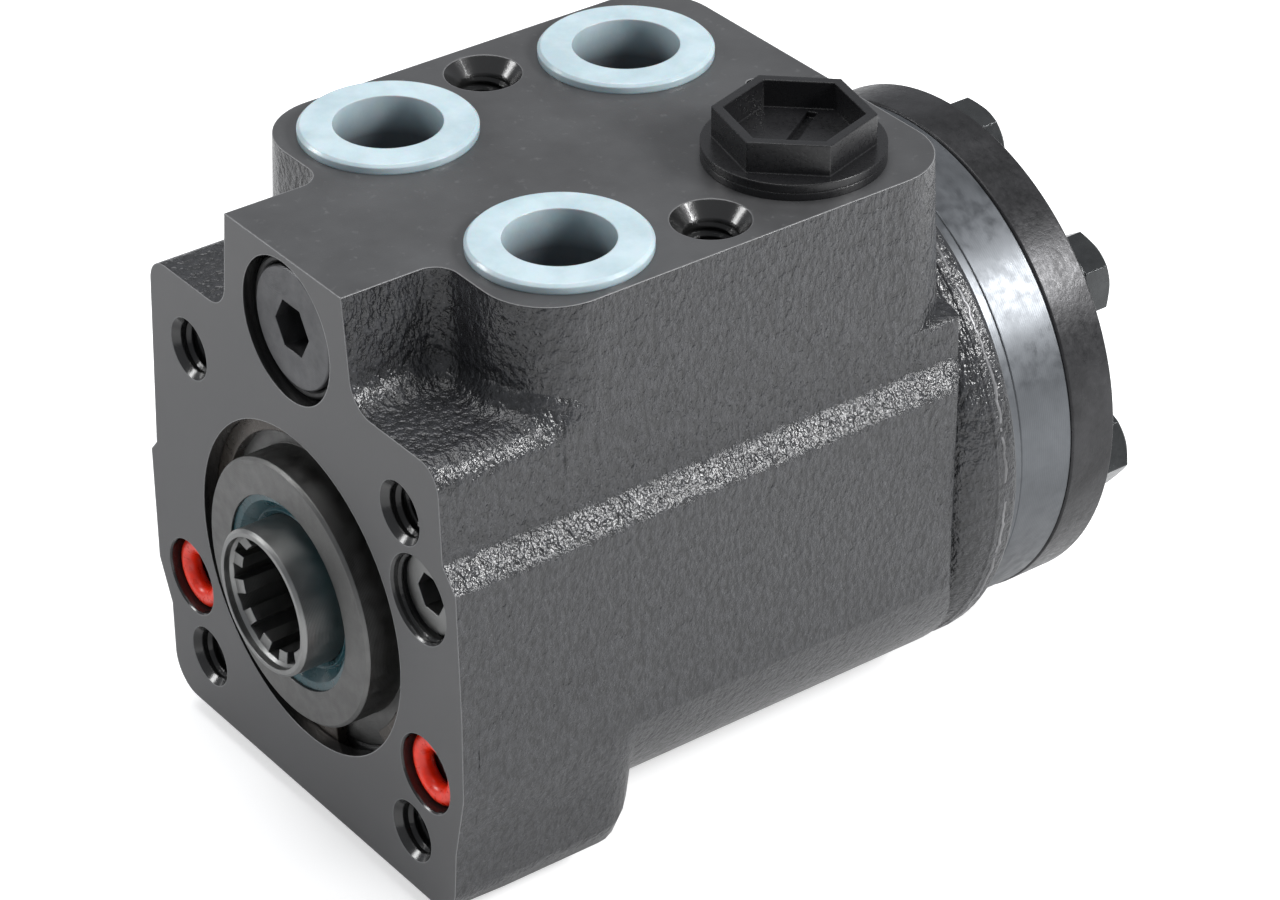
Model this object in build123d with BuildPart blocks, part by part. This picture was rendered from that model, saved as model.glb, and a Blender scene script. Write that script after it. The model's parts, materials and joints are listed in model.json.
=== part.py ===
from build123d import *
from math import atan2, cos, degrees, pi, radians, sin, tan
import os

os.makedirs("parts", exist_ok=True)

# Orbital steering unit. All sizes in millimetres.
# The origin is where the input shaft's axis meets the front mounting face.
# +X is to the right seen from the front, +Y runs rearwards along the shaft, +Z is up to the port face.

# ---------------------------------------------------------------- driving dimensions
# Stack along the shaft axis
housing_length = 108.0
plate_thickness = 1.8
gear_width = 10.8
cover_thickness = 9.0
stack_inset = 2.8
cover_inset = 2.6

# Cast housing
port_face_height = 59.3
block_half_width = 38.3
block_front = 17.7
block_rear_setback = 8.5
block_corner_radius = 11.5
block_draft = 2.4
block_foot_height = 22.0
shoulder_height = 41.4
shoulder_inset = 4.5
shoulder_radius = 4.5
boss_half_width = 15.8
boss_root_half_width = 17.6
boss_fillet = 5.0
block_fillet = 4.0
trunk_radius = 46.2
trunk_side_inset = 2.3
trunk_start = 8.0
trunk_corner_radius = 12.0
base_inset = 2.5
side_lean = 0.6
shoulder_lean = 0.7
right_ledge_top = 25.6
right_ledge_bottom = 21.8
left_ledge_top = 5.9
left_ledge_bottom = 3.8
left_ledge_width = 2.4
foot_side_inset = 3.7
foot_base_inset = 3.9
foot_flare = 1.0
foot_corner_radius = 6.0
foot_depth = 28.0
foot_back_depth = 7.5
foot_back_slope = 38.0
foot_cheek_height = 15.0
foot_cheek_end = 24.5
foot_cheek_shift = 2.0
flange_radius = 45.9
flange_neck_inset = 6.4
flange_neck_depth = 11.5
flange_neck_run = 4.0
flange_land_front = 5.4
flange_land_rear = 2.2
flange_rim_inset = 2.3
flange_rim_width = 0.7
flange_belly_inset = 1.9
flange_belly_depth = 2.6
flange_edge_width = 0.6

# Column mounting bolts, M10
column_pitch_diameter = 82.5
column_bolt_hole = 4.25
column_bolt_depth = 16.0
column_bolt_mouth = 5.25

# Port face: four ports and two M10 valve bolts
port_bore = 10.0
port_depth = 17.0
front_port_x = 22.6
front_port_y = 34.2
rear_port_x = 21.5
rear_port_setback = 20.3
valve_bolt_x = 29.6
valve_bolt_shift = 0.3
valve_bolt_hole = 4.25
valve_bolt_depth = 17.0
valve_bolt_mouth = 6.3
locating_hole_x = -0.8
locating_hole_setback = 10.2
locating_hole_radius = 1.5
locating_hole_depth = 5.0

# Main bore and gland
main_bore = 19.0
groove_radius = 21.0
groove_width = 5.0
first_groove = 46.0
groove_pitch = 12.0
last_groove_setback = 18.0
gland_bore = 27.7
gland_bore_depth = 11.3
retaining_groove = 29.3
retaining_front = 2.6
retaining_width = 1.9
gland_neck_radius = 22.26
gland_proud = 2.3
dust_seal_radius = 16.2
dust_seal_depth = 4.4
shaft_seal_radius = 16.8
shaft_seal_front = 6.2
shaft_seal_width = 3.4

# Thrust bearing
race_thickness = 1.2
needle_diameter = 2.0
needle_count = 12
bearing_outer = 18.7
bearing_inner = 12.9

# Spool and sleeve
spool_end_radius = 12.12
spool_end_proud = 7.0
spool_radius = 14.0
spool_bore = 10.0
input_spline_teeth = 12
input_spline_major = 10.4
input_spline_minor = 8.8
input_spline_mouth = 10.9
input_spline_mouth_depth = 1.6
input_spline_end = 13.0
deflection = 8.0
cross_pin_radius = 4.0
cross_pin_station = 34.0
spring_station = 21.0
spring_width = 6.0
spring_leaf = 0.55
spring_slot = 4.4
spool_slot_count = 6

# Gear set: six-lobed rotor orbiting inside seven round teeth
ring_teeth = 7
tooth_pitch_radius = 28.0
tooth_radius = 6.5
eccentricity = 2.9
rotor_spline_major = 8.3
rotor_spline_minor = 7.1
rotor_spline_teeth = 12

# Cover bolts, M8
cover_bolt_inset = 8.8
cover_bolt_radius = 4.0
cover_bolt_grip = 16.0
cover_bolt_flats = 13.0
cover_bolt_head = 5.5
cover_washer_radius = 7.3
cover_washer_thickness = 1.3

# Drive shaft
drive_shaft_radius = 6.0
drive_head_tip = 7.75
drive_head_root = 6.5
drive_fork_radius = 8.4

# Valves
relief_x = 0.0
relief_z = 46.3
relief_mouth_radius = 11.9
relief_mouth_depth = 3.4
relief_plug_radius = 10.0
relief_plug_sink = 1.15
relief_plug_length = 13.0
relief_socket_flats = 8.0
relief_chamber = 7.0
relief_chamber_end = 48.0
relief_seat_length = 5.0
shock_x = 33.4
shock_z = -15.8
shock_mouth_radius = 6.7
shock_screw_radius = 6.3
shock_screw_front = 4.6
shock_screw_length = 9.0
shock_socket_flats = 5.0
shock_chamber = 4.5
shock_chamber_end = 36.0
shock_ball_radius = 3.5
check_x = 33.2
check_z = 16.0
check_mouth_radius = 7.4
check_bush_radius = 6.9
check_bush_front = 2.4
check_bush_length = 10.0
check_socket_flats = 6.0
check_chamber = 4.6
check_chamber_end = 26.0
check_ball_radius = 4.25

# Port plugs
cap_flange_radius = 14.2
cap_flange_thickness = 1.6
cap_cup_radius = 8.65
cap_length = 11.0
cap_floor = 1.2
hex_plug_flange_radius = 14.4
hex_plug_washer_thickness = 1.3
hex_plug_flange_thickness = 1.4
hex_plug_flats = 22.0
hex_plug_height = 6.5
hex_plug_wall = 1.5
hex_plug_turn = 47.0

# Clearances and small details
slip = 0.05
seat_gap = 0.1
thread_gap = 0.1
gear_gap = 0.08
spline_gap = 0.3
o_ring_section = 1.2
o_ring_setback = 2.8
o_ring_groove_depth = 1.25
o_ring_play = 0.2
edge_break = 0.5
stack_edge = 0.3
passage_circle = 23.4
passage_radius = 2.0
plate_bore = 10.4
retaining_ring_width = 4.2
retaining_gap_start = -80.0
retaining_gap_end = -48.0
gland_seal_section = 1.8
sleeve_port_radius = 1.5
leaf_bow = 0.3
input_space_inner = 2.1
input_space_outer = 2.9
rotor_space_inner = 1.9
rotor_space_outer = 2.7
head_tooth_root = 2.0
head_tooth_tip = 1.3
drive_head_setback = 1.6
crown = 0.35
fork_reach = 8.5
fork_root = 8.0
fork_gap = 0.05
fork_root_gap = 1.0
spacer_radius = 6.6
spacer_thickness = 0.9
points_per_lobe = 14
coil_runs = 12
o_ring_sides = 10
relief_socket_turn = 0.0
relief_socket_depth = 6.0
relief_seal_section = 1.6
relief_seat_bore = 3.0
relief_guide = 5.0
relief_stem = 2.4
relief_spring_radius = 4.2
relief_spring_wire = 1.6
relief_spring_turns = 5
shock_seal_bore = 2.9
shock_spring_radius = 2.8
shock_spring_wire = 1.0
shock_spring_turns = 5
check_socket_turn = 0.0
hex_plug_recess = 4.6
hex_slot_width = 1.6
hex_slot_depth = 1.0
hex_slot_turn = 75.0
seal_gap = 0.08
seal_heel = 1.2
seal_lip = 0.8
sleeve_groove_depth = 0.8
sleeve_groove_width = 2.4
sleeve_port_counts = (4, 4, 4, 6)
spring_ring_depth = 1.4
spring_ring_width = 3.0
spool_slot_depth = 1.2
spool_slot_width = 2.6
relief_cone = 2.0
relief_collar_width = 3.0
relief_stem_length = 4.0
shock_spring_seat = 2.4

# ---------------------------------------------------------------- sizes that follow
trunk_half_width = trunk_radius - trunk_side_inset
base_height = trunk_radius - base_inset
shoulder_half_width = trunk_half_width - shoulder_inset
foot_half_width = trunk_half_width - foot_side_inset
foot_height = base_height - foot_base_inset
block_rear = housing_length - block_rear_setback
rear_port_y = block_rear - rear_port_setback
valve_bolt_y = (front_port_y + rear_port_y) / 2 + valve_bolt_shift
locating_hole_y = block_rear - locating_hole_setback
groove_stations = (
    first_groove,
    first_groove + groove_pitch,
    first_groove + 2 * groove_pitch,
    housing_length - last_groove_setback,
)
flange_neck_radius = flange_radius - flange_neck_inset
flange_rim_radius = flange_radius - flange_rim_inset
stack_radius = flange_radius - stack_inset
cover_radius = flange_radius - cover_inset
o_ring_radius = stack_radius - o_ring_setback
cover_bolt_circle = stack_radius - cover_bolt_inset
flange_neck_front = housing_length - flange_neck_depth
flange_belly_front = housing_length - flange_land_front - flange_belly_depth
block_toe = block_front - (port_face_height - shoulder_height) * tan(radians(block_draft))
belly_side = -((trunk_radius**2 - trunk_half_width**2) ** 0.5)
belly_base = (trunk_radius**2 - base_height**2) ** 0.5
belly_knee = trunk_radius / 2**0.5
gear_front = housing_length + plate_thickness
cover_front = gear_front + gear_width
cover_rear = cover_front + cover_thickness
head_seat = cover_rear + cover_washer_thickness
relief_plug_end = relief_plug_sink + relief_plug_length
relief_seat_front = relief_chamber_end - relief_seat_length
shock_screw_end = shock_screw_front + shock_screw_length
check_bush_end = check_bush_front + check_bush_length
cross_pin_half = (main_bore**2 - cross_pin_radius**2) ** 0.5 - 2 * seat_gap
cross_plane = Plane(origin=(0, cross_pin_station, 0), z_dir=(1, 0, 0))
port_places = (
    (-front_port_x, front_port_y),
    (front_port_x, front_port_y),
    (-rear_port_x, rear_port_y),
    (rear_port_x, rear_port_y),
)
o_ring_groove_half = o_ring_section / 2 + o_ring_play
tooth_angles = [90 + 360 / ring_teeth * k for k in range(ring_teeth)]
chamber_angles = [angle + 180 / ring_teeth for angle in tooth_angles]
column_bolt_offset = column_pitch_diameter / 2 * cos(pi / 4)
gland_flange_front = retaining_front + retaining_width
gland_rear = gland_bore_depth - seat_gap
front_race_front = gland_rear + slip
needle_front = front_race_front + race_thickness + slip
rear_race_front = needle_front + needle_diameter + slip
sleeve_front = rear_race_front + race_thickness + slip
sleeve_radius = main_bore - slip
sleeve_bore = spool_radius + slip
sleeve_rear = housing_length - seat_gap
gear_middle = gear_front + gear_width / 2
drive_tilt = degrees(atan2(eccentricity, gear_middle - cross_pin_station))
cap_flange_top = port_face_height + cap_flange_thickness
hex_base = port_face_height + hex_plug_washer_thickness


def station(depth, x=0.0, z=0.0):
    """Plane square to the shaft, `depth` behind the mounting face, seen from the front."""
    return Plane(origin=(x, depth, z), x_dir=(1, 0, 0), z_dir=(0, -1, 0))


def ring_places(radius, angles):
    """Places on a circle round the shaft, for a sketch square to the shaft."""
    return [(radius * cos(radians(angle)), radius * sin(radians(angle))) for angle in angles]


def turned(outline, x=0.0, z=0.0):
    """A solid turned about an axis along Y through (x, z), from (radius, depth) points."""
    with BuildPart() as body:
        with BuildSketch(Plane.XY.offset(z)):
            with BuildLine():
                Polyline(*[(x + radius, depth) for radius, depth in outline], close=True)
            make_face()
        revolve(axis=Axis((x, 0, z), (0, 1, 0)))
    return body


def tube(inner, outer, front, rear, x=0.0, z=0.0):
    """Outline of a plain ring or tube, for `turned`."""
    return turned([(inner, front), (outer, front), (outer, rear), (inner, rear)], x, z)


def o_ring(radius, depth, x=0.0, z=0.0, section=o_ring_section):
    """A ring of nearly round section about an axis along Y, with its middle at `depth`."""
    with BuildPart() as ring:
        with BuildSketch(Plane.XY.offset(z)):
            with Locations((x + radius, depth)):
                RegularPolygon(section / 2, o_ring_sides)
        revolve(axis=Axis((x, 0, z), (0, 1, 0)))
    return ring


def spring_coil(radius, wire, front, length, turns, x, z):
    """An open compression spring along Y, its wire bent in short straight runs."""
    runs = turns * coil_runs
    rise = (length - wire) / runs
    with BuildPart() as coil:
        with BuildLine():
            path = Polyline(
                *[
                    (
                        x + radius * cos(2 * pi * k / coil_runs),
                        front + wire / 2 + rise * k,
                        z + radius * sin(2 * pi * k / coil_runs),
                    )
                    for k in range(runs + 1)
                ]
            )
        with BuildSketch(Plane(origin=path @ 0, z_dir=path % 0)):
            RegularPolygon(wire / 2, 6)
        sweep(path=path, transition=Transition.RIGHT)
    return coil


def add_teeth(count, inner, outer, inner_width, outer_width, mode=Mode.ADD):
    """Straight-sided teeth round the current sketch's origin."""
    middle = (inner + outer) / 2
    with PolarLocations(middle, count):
        Polygon(
            (inner - middle, -inner_width / 2),
            (outer - middle, -outer_width / 2),
            (outer - middle, outer_width / 2),
            (inner - middle, inner_width / 2),
            mode=mode,
        )


def finish(piece, name):
    """Labels a finished piece and writes its STEP file."""
    piece.part.label = name
    export_step(piece.part, f"parts/{name}.step")


# ---------------------------------------------------------------- housing
front_outline = [
    (-foot_half_width, -foot_height),
    (foot_half_width, -foot_height),
    (foot_half_width + foot_flare, -foot_cheek_end - foot_cheek_shift),
    (trunk_half_width - side_lean / 3, -foot_cheek_height),
    (trunk_half_width, 0.0),
    (trunk_half_width - side_lean, right_ledge_bottom),
    (shoulder_half_width + shoulder_lean, right_ledge_top),
    (shoulder_half_width, shoulder_height),
    (boss_root_half_width, shoulder_height),
    (boss_half_width, port_face_height),
    (-boss_half_width, port_face_height),
    (-boss_root_half_width, shoulder_height),
    (-shoulder_half_width, shoulder_height),
    (-trunk_half_width + left_ledge_width, left_ledge_top),
    (-trunk_half_width + side_lean, left_ledge_bottom),
    (-trunk_half_width + side_lean, -foot_cheek_height - foot_cheek_shift),
    (-foot_half_width, -foot_cheek_end),
]
ledge_outline = [
    (trunk_half_width, belly_side),
    (trunk_half_width, 0.0),
    (trunk_half_width - side_lean, right_ledge_bottom),
    (shoulder_half_width + shoulder_lean, right_ledge_top),
    (shoulder_half_width, shoulder_height - 2 * shoulder_radius),
    (-shoulder_half_width, shoulder_height - 2 * shoulder_radius),
    (-trunk_half_width + left_ledge_width, left_ledge_top),
    (-trunk_half_width + side_lean, left_ledge_bottom),
    (-trunk_half_width, belly_side),
]

with BuildPart() as housing:
    # Trunk round the main bore: flat sides with a ledge each, a round belly and a flat base
    with BuildSketch(station(trunk_start)):
        with BuildLine():
            Polyline(*ledge_outline)
            ThreePointArc(ledge_outline[-1], (-belly_knee, -belly_knee), (-belly_base, -base_height))
            Line((-belly_base, -base_height), (belly_base, -base_height))
            ThreePointArc((belly_base, -base_height), (belly_knee, -belly_knee), ledge_outline[0])
        make_face()
    extrude(amount=trunk_start - block_rear)
    with BuildSketch(Plane.XY.offset(-base_height - 1)) as trunk_plan:
        with Locations((0, (trunk_start + block_rear) / 2)):
            Rectangle(2 * trunk_radius, block_rear - trunk_start)
        fillet(trunk_plan.vertices().group_by(Axis.Y)[-1], trunk_corner_radius)
    extrude(amount=2 * base_height + 2, mode=Mode.INTERSECT)

    # Port block, with drafted sides and round vertical corners
    with BuildSketch(Plane.XY.offset(port_face_height)):
        with Locations((0, (block_front + block_rear) / 2)):
            RectangleRounded(2 * block_half_width, block_rear - block_front, block_corner_radius)
    extrude(amount=block_foot_height - port_face_height, taper=-block_draft)

    # Front flange with its shoulders, square foot and relief-valve boss
    with BuildSketch(station(0)) as flange_face:
        with BuildLine():
            Polyline(*front_outline, close=True)
        make_face()
        upper = flange_face.vertices().filter_by_position(Axis.Y, shoulder_height - slip, shoulder_height + slip)
        fillet([corner for corner in upper if abs(corner.X) > shoulder_half_width - slip], shoulder_radius)
        fillet(flange_face.vertices().group_by(Axis.Y)[0], foot_corner_radius)
        upper = flange_face.vertices().filter_by_position(Axis.Y, shoulder_height - slip, shoulder_height + slip)
        fillet([corner for corner in upper if abs(corner.X) < boss_root_half_width + slip], boss_fillet)
    extrude(amount=-block_front - boss_fillet)

    # The foot runs on under the trunk and tapers into it
    with BuildSketch(station(block_front)) as foot_section:
        with Locations((0, -foot_height / 2)):
            Rectangle(2 * foot_half_width, foot_height)
        fillet(foot_section.vertices().group_by(Axis.Y)[0], foot_corner_radius)
    extrude(amount=block_front - foot_depth)
    with BuildSketch(station(foot_depth)) as foot_back:
        with Locations((0, -foot_height / 2)):
            Rectangle(2 * foot_half_width, foot_height)
        fillet(foot_back.vertices().group_by(Axis.Y)[0], foot_corner_radius)
    extrude(amount=-foot_back_depth, taper=foot_back_slope)

    # Round rear flange that the gear stack bolts to
    with BuildSketch(Plane.XY):
        with BuildLine():
            Polyline(
                (0, flange_neck_front - flange_neck_run),
                (flange_neck_radius - flange_neck_run, flange_neck_front - flange_neck_run),
                (flange_neck_radius, flange_neck_front),
                (flange_radius - flange_belly_inset, flange_belly_front),
                (flange_radius, housing_length - flange_land_front),
                (flange_radius, housing_length - flange_land_rear),
                (flange_radius - flange_edge_width, housing_length - flange_rim_width - edge_break),
                (flange_rim_radius, housing_length - flange_rim_width),
                (flange_rim_radius, housing_length),
                (0, housing_length),
                close=True,
            )
        make_face()
    revolve(axis=Axis.Y)

    # Flat base, and cast fillets where the block and the boss rise from the shoulders
    with BuildSketch(Plane.XY.offset(-base_height)):
        with Locations((0, housing_length / 2)):
            Rectangle(4 * trunk_half_width, 2 * housing_length)
    extrude(amount=-base_height, mode=Mode.SUBTRACT)
    toe_edges = housing.edges().filter_by(Axis.X).filter_by_position(Axis.Y, block_toe - slip, block_toe + slip)
    toe_edges = toe_edges.filter_by_position(Axis.Z, shoulder_height - slip, shoulder_height + slip)
    fillet(toe_edges, block_fillet)

    # Main bore with its oil grooves, and the gland bore with the retaining-ring groove
    with BuildSketch(Plane.XY):
        with Locations((gland_bore / 2, gland_bore_depth / 2)):
            Rectangle(gland_bore, gland_bore_depth)
        with Locations((main_bore / 2, housing_length / 2)):
            Rectangle(main_bore, housing_length)
        with Locations((retaining_groove / 2, retaining_front + retaining_width / 2)):
            Rectangle(retaining_groove, retaining_width)
        for depth in groove_stations:
            with Locations((groove_radius / 2, depth)):
                Rectangle(groove_radius, groove_width)
    revolve(axis=Axis.Y, mode=Mode.SUBTRACT)

    # Column bolt holes
    with Locations(station(0)):
        with GridLocations(2 * column_bolt_offset, 2 * column_bolt_offset, 2, 2):
            CounterSinkHole(column_bolt_hole, column_bolt_mouth, column_bolt_depth)

    # Port bores, valve bolt holes and the locating hole in the port face
    with Locations(Plane.XY.offset(port_face_height)):
        with Locations(*port_places):
            Hole(port_bore, port_depth)
        with Locations((-valve_bolt_x, valve_bolt_y), (valve_bolt_x, valve_bolt_y)):
            CounterSinkHole(valve_bolt_hole, valve_bolt_mouth, valve_bolt_depth)
        with Locations((locating_hole_x, locating_hole_y)):
            Hole(locating_hole_radius, locating_hole_depth)

    # Relief valve bore: mouth, plug thread and chamber
    with Locations(station(0, relief_x, relief_z)):
        CounterBoreHole(relief_plug_radius + thread_gap, relief_mouth_radius, relief_mouth_depth, relief_plug_end)
        Hole(relief_chamber, relief_chamber_end)

    # Shock valve bores and the check valve bore
    with Locations(station(0, -shock_x, shock_z), station(0, shock_x, shock_z)):
        CounterSinkHole(shock_screw_radius + thread_gap, shock_mouth_radius, shock_screw_end)
        Hole(shock_chamber, shock_chamber_end)
    with Locations(station(0, check_x, check_z)):
        CounterSinkHole(check_bush_radius + thread_gap, check_mouth_radius, check_bush_end)
        Hole(check_chamber, check_chamber_end)

    # Rear face: passages to the gear chambers, cover bolt holes and the O-ring groove
    with BuildSketch(station(housing_length)):
        with Locations(*ring_places(passage_circle, chamber_angles)):
            Circle(passage_radius)
    extrude(amount=housing_length - groove_stations[-1], mode=Mode.SUBTRACT)
    with BuildSketch(station(housing_length)):
        with Locations(*ring_places(cover_bolt_circle, tooth_angles)):
            Circle(cover_bolt_radius + thread_gap)
    extrude(amount=cover_bolt_grip + 2 * edge_break, mode=Mode.SUBTRACT)
    with BuildSketch(station(housing_length)):
        Circle(o_ring_radius + o_ring_groove_half)
        Circle(o_ring_radius - o_ring_groove_half, mode=Mode.SUBTRACT)
    extrude(amount=o_ring_groove_depth, mode=Mode.SUBTRACT)
finish(housing, "housing")

# ---------------------------------------------------------------- gland at the front of the bore
gland_flange_radius = gland_bore - seat_gap
gland_inner = spool_end_radius + seal_gap
gland_seal_middle = (gland_flange_front + gland_rear) / 2
gland_seal_half = (gland_seal_section + seat_gap) / 2
dust_seal_rear = dust_seal_depth - gland_proud
shaft_seal_rear = shaft_seal_front + shaft_seal_width
gland_bushing = turned(
    [
        (dust_seal_radius, -gland_proud),
        (gland_neck_radius - edge_break, -gland_proud),
        (gland_neck_radius, edge_break - gland_proud),
        (gland_neck_radius, gland_flange_front),
        (gland_flange_radius, gland_flange_front),
        (gland_flange_radius, gland_seal_middle - gland_seal_half),
        (gland_flange_radius - gland_seal_section, gland_seal_middle - gland_seal_half),
        (gland_flange_radius - gland_seal_section, gland_seal_middle + gland_seal_half),
        (gland_flange_radius, gland_seal_middle + gland_seal_half),
        (gland_flange_radius, gland_rear),
        (gland_inner, gland_rear),
        (gland_inner, shaft_seal_rear),
        (shaft_seal_radius, shaft_seal_rear),
        (shaft_seal_radius, shaft_seal_front),
        (gland_inner, shaft_seal_front),
        (gland_inner, dust_seal_rear),
        (dust_seal_radius, dust_seal_rear),
    ]
)
finish(gland_bushing, "gland_bushing")

gland_o_ring = o_ring(gland_flange_radius - gland_seal_section / 2, gland_seal_middle, section=gland_seal_section)
finish(gland_o_ring, "gland_o_ring")

# Dust seal: a band in the bushing with a lip that leans out to the spool
dust_seal = turned(
    [
        (dust_seal_radius - seal_heel, seal_lip - gland_proud),
        (dust_seal_radius, edge_break - gland_proud),
        (dust_seal_radius, dust_seal_rear),
        (spool_end_radius + seal_heel, dust_seal_rear),
        (spool_end_radius + seal_lip, dust_seal_rear - seal_heel),
        (gland_inner, dust_seal_rear - 1.5 * seal_heel),
        (gland_inner + seal_lip, dust_seal_rear - 2 * seal_heel),
        (spool_end_radius + seal_heel, dust_seal_rear - 1.5 * seal_heel),
    ]
)
finish(dust_seal, "dust_seal")

shaft_seal = turned(
    [
        (gland_inner, shaft_seal_front + seal_lip),
        (gland_inner + seal_lip, shaft_seal_front),
        (shaft_seal_radius, shaft_seal_front),
        (shaft_seal_radius, shaft_seal_rear),
        (gland_inner + seal_lip, shaft_seal_rear),
        (gland_inner, shaft_seal_rear - seal_lip),
    ]
)
finish(shaft_seal, "shaft_seal")

# Internal retaining ring: a split ring in its groove, open at the lower right
ring_outer = retaining_groove - seat_gap
ring_inner = ring_outer - retaining_ring_width
retaining_sweep = 360 + retaining_gap_start - retaining_gap_end
with BuildPart() as retaining_ring:
    with BuildSketch(station(retaining_front + slip)):
        with BuildLine():
            CenterArc((0, 0), ring_outer, retaining_gap_end, retaining_sweep)
            CenterArc((0, 0), ring_inner, retaining_gap_end, retaining_sweep)
            for angle in (retaining_gap_start, retaining_gap_end):
                Line(*ring_places(ring_outer, (angle,)), *ring_places(ring_inner, (angle,)))
        make_face()
    extrude(amount=2 * slip - retaining_width)
finish(retaining_ring, "retaining_ring")

# ---------------------------------------------------------------- thrust needle bearing
front_race = tube(bearing_inner, bearing_outer, front_race_front, front_race_front + race_thickness)
finish(front_race, "front_race")
rear_race = tube(bearing_inner, bearing_outer, rear_race_front, rear_race_front + race_thickness)
finish(rear_race, "rear_race")

needle_length = bearing_outer - bearing_inner - 4 * edge_break
bearing_middle = (bearing_outer + bearing_inner) / 2
with BuildPart() as needle_cage:
    with BuildSketch(station(needle_front + needle_diameter / 4)):
        Circle(bearing_outer)
        Circle(bearing_inner, mode=Mode.SUBTRACT)
        with PolarLocations(bearing_middle, needle_count):
            Rectangle(needle_length + slip, needle_diameter + slip, mode=Mode.SUBTRACT)
    extrude(amount=-needle_diameter / 2)
finish(needle_cage, "needle_cage")

with BuildPart() as needles:
    with Locations(station(needle_front + needle_diameter / 2)):
        with PolarLocations(bearing_middle, needle_count):
            Cylinder(needle_diameter / 2, needle_length, rotation=(0, 90, 0))
finish(needles, "needles")

# ---------------------------------------------------------------- control sleeve
with BuildPart() as control_sleeve:
    with BuildSketch(Plane.XY):
        with BuildLine():
            Polyline(
                (sleeve_bore, sleeve_front),
                (sleeve_radius - edge_break, sleeve_front),
                (sleeve_radius, sleeve_front + edge_break),
                (sleeve_radius, sleeve_rear),
                (sleeve_bore, sleeve_rear),
                close=True,
            )
        make_face()
        for depth in groove_stations[:-1]:
            with Locations((sleeve_radius, depth)):
                Rectangle(2 * sleeve_groove_depth, sleeve_groove_width, mode=Mode.SUBTRACT)
        with Locations((sleeve_radius, spring_station)):
            Rectangle(2 * spring_ring_depth, spring_ring_width, mode=Mode.SUBTRACT)
    revolve(axis=Axis.Y)
    # Slot for the centring springs, right across
    with BuildSketch(Plane.XY):
        with Locations((0, spring_station)):
            Rectangle(spring_slot, spring_width + 2 * seat_gap)
    extrude(amount=2 * sleeve_radius, both=True, mode=Mode.SUBTRACT)
    # Holes for the cross pin
    with Locations(cross_plane):
        Cylinder(cross_pin_radius + slip / 2, 3 * sleeve_radius, mode=Mode.SUBTRACT)
    # Rows of metering holes
    for depth, count in zip(groove_stations, sleeve_port_counts):
        with Locations(station(depth)):
            with PolarLocations(0, count // 2, angular_range=180):
                Cylinder(sleeve_port_radius, 3 * sleeve_radius, rotation=(0, 90, 0), mode=Mode.SUBTRACT)
finish(control_sleeve, "control_sleeve")

with BuildPart() as cross_pin:
    with Locations(cross_plane):
        Cylinder(cross_pin_radius, 2 * cross_pin_half)
    chamfer(cross_pin.edges().filter_by(GeomType.CIRCLE), edge_break)
finish(cross_pin, "cross_pin")

# Ring round the sleeve that keeps the springs in
spring_ring = tube(
    sleeve_radius - spring_ring_depth,
    sleeve_radius - slip,
    spring_station - spring_ring_width / 2 + slip,
    spring_station + spring_ring_width / 2 - slip,
)
finish(spring_ring, "spring_ring")

# Six leaf springs: a flat pair in the middle, and two leaves each side that bow away from it
leaf_half = sleeve_radius - spring_ring_depth - 2 * seat_gap
with BuildPart() as centring_springs:
    with BuildSketch(station(spring_station)):
        for side in (-1, 1):
            with Locations((side * (spring_leaf + slip) / 2, 0)):
                Rectangle(spring_leaf, 2 * leaf_half)
            for order in (1, 2):
                near = side * (order * (spring_leaf + slip) + slip / 2)
                far = near + side * spring_leaf
                bow = side * leaf_bow
                with BuildLine():
                    ThreePointArc((near + bow, leaf_half), (near, 0), (near + bow, -leaf_half))
                    Line((near + bow, -leaf_half), (far + bow, -leaf_half))
                    ThreePointArc((far + bow, -leaf_half), (far, 0), (far + bow, leaf_half))
                    Line((far + bow, leaf_half), (near + bow, leaf_half))
                make_face()
    extrude(amount=spring_width / 2, both=True)
finish(centring_springs, "centring_springs")

# ---------------------------------------------------------------- control spool
pin_window = cross_pin_radius + spool_radius * sin(radians(deflection)) + spline_gap
mouth_rear = input_spline_mouth_depth - spool_end_proud
with BuildPart() as control_spool:
    with BuildSketch(Plane.XY):
        with BuildLine():
            Polyline(
                (input_spline_mouth, -spool_end_proud),
                (spool_end_radius - edge_break, -spool_end_proud),
                (spool_end_radius, edge_break - spool_end_proud),
                (spool_end_radius, sleeve_front),
                (spool_radius, sleeve_front),
                (spool_radius, sleeve_rear),
                (spool_bore, sleeve_rear),
                (spool_bore, input_spline_end),
                (input_spline_minor, input_spline_end),
                (input_spline_minor, mouth_rear + edge_break),
                (input_spline_mouth - edge_break, mouth_rear),
                (input_spline_mouth, mouth_rear - edge_break),
                close=True,
            )
        make_face()
    revolve(axis=Axis.Y)
    # Input splines
    with BuildSketch(station(mouth_rear - edge_break)):
        add_teeth(
            input_spline_teeth,
            input_spline_minor - edge_break,
            input_spline_major,
            input_space_inner,
            input_space_outer,
        )
    extrude(amount=mouth_rear - edge_break - input_spline_end, mode=Mode.SUBTRACT)
    # Windows for the cross pin and the centring springs
    with Locations(cross_plane):
        Cylinder(pin_window, 3 * spool_radius, mode=Mode.SUBTRACT)
    with BuildSketch(Plane.XY):
        with Locations((0, spring_station)):
            Rectangle(spring_slot, spring_width + 2 * seat_gap)
    extrude(amount=2 * spool_radius, both=True, mode=Mode.SUBTRACT)
    # Long metering slots
    slot_front, slot_rear = groove_stations[1], groove_stations[3]
    with Locations(station((slot_front + slot_rear) / 2)):
        with PolarLocations(spool_radius, spool_slot_count):
            Box(2 * spool_slot_depth, spool_slot_width, slot_rear - slot_front, mode=Mode.SUBTRACT)
finish(control_spool, "control_spool")

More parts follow.
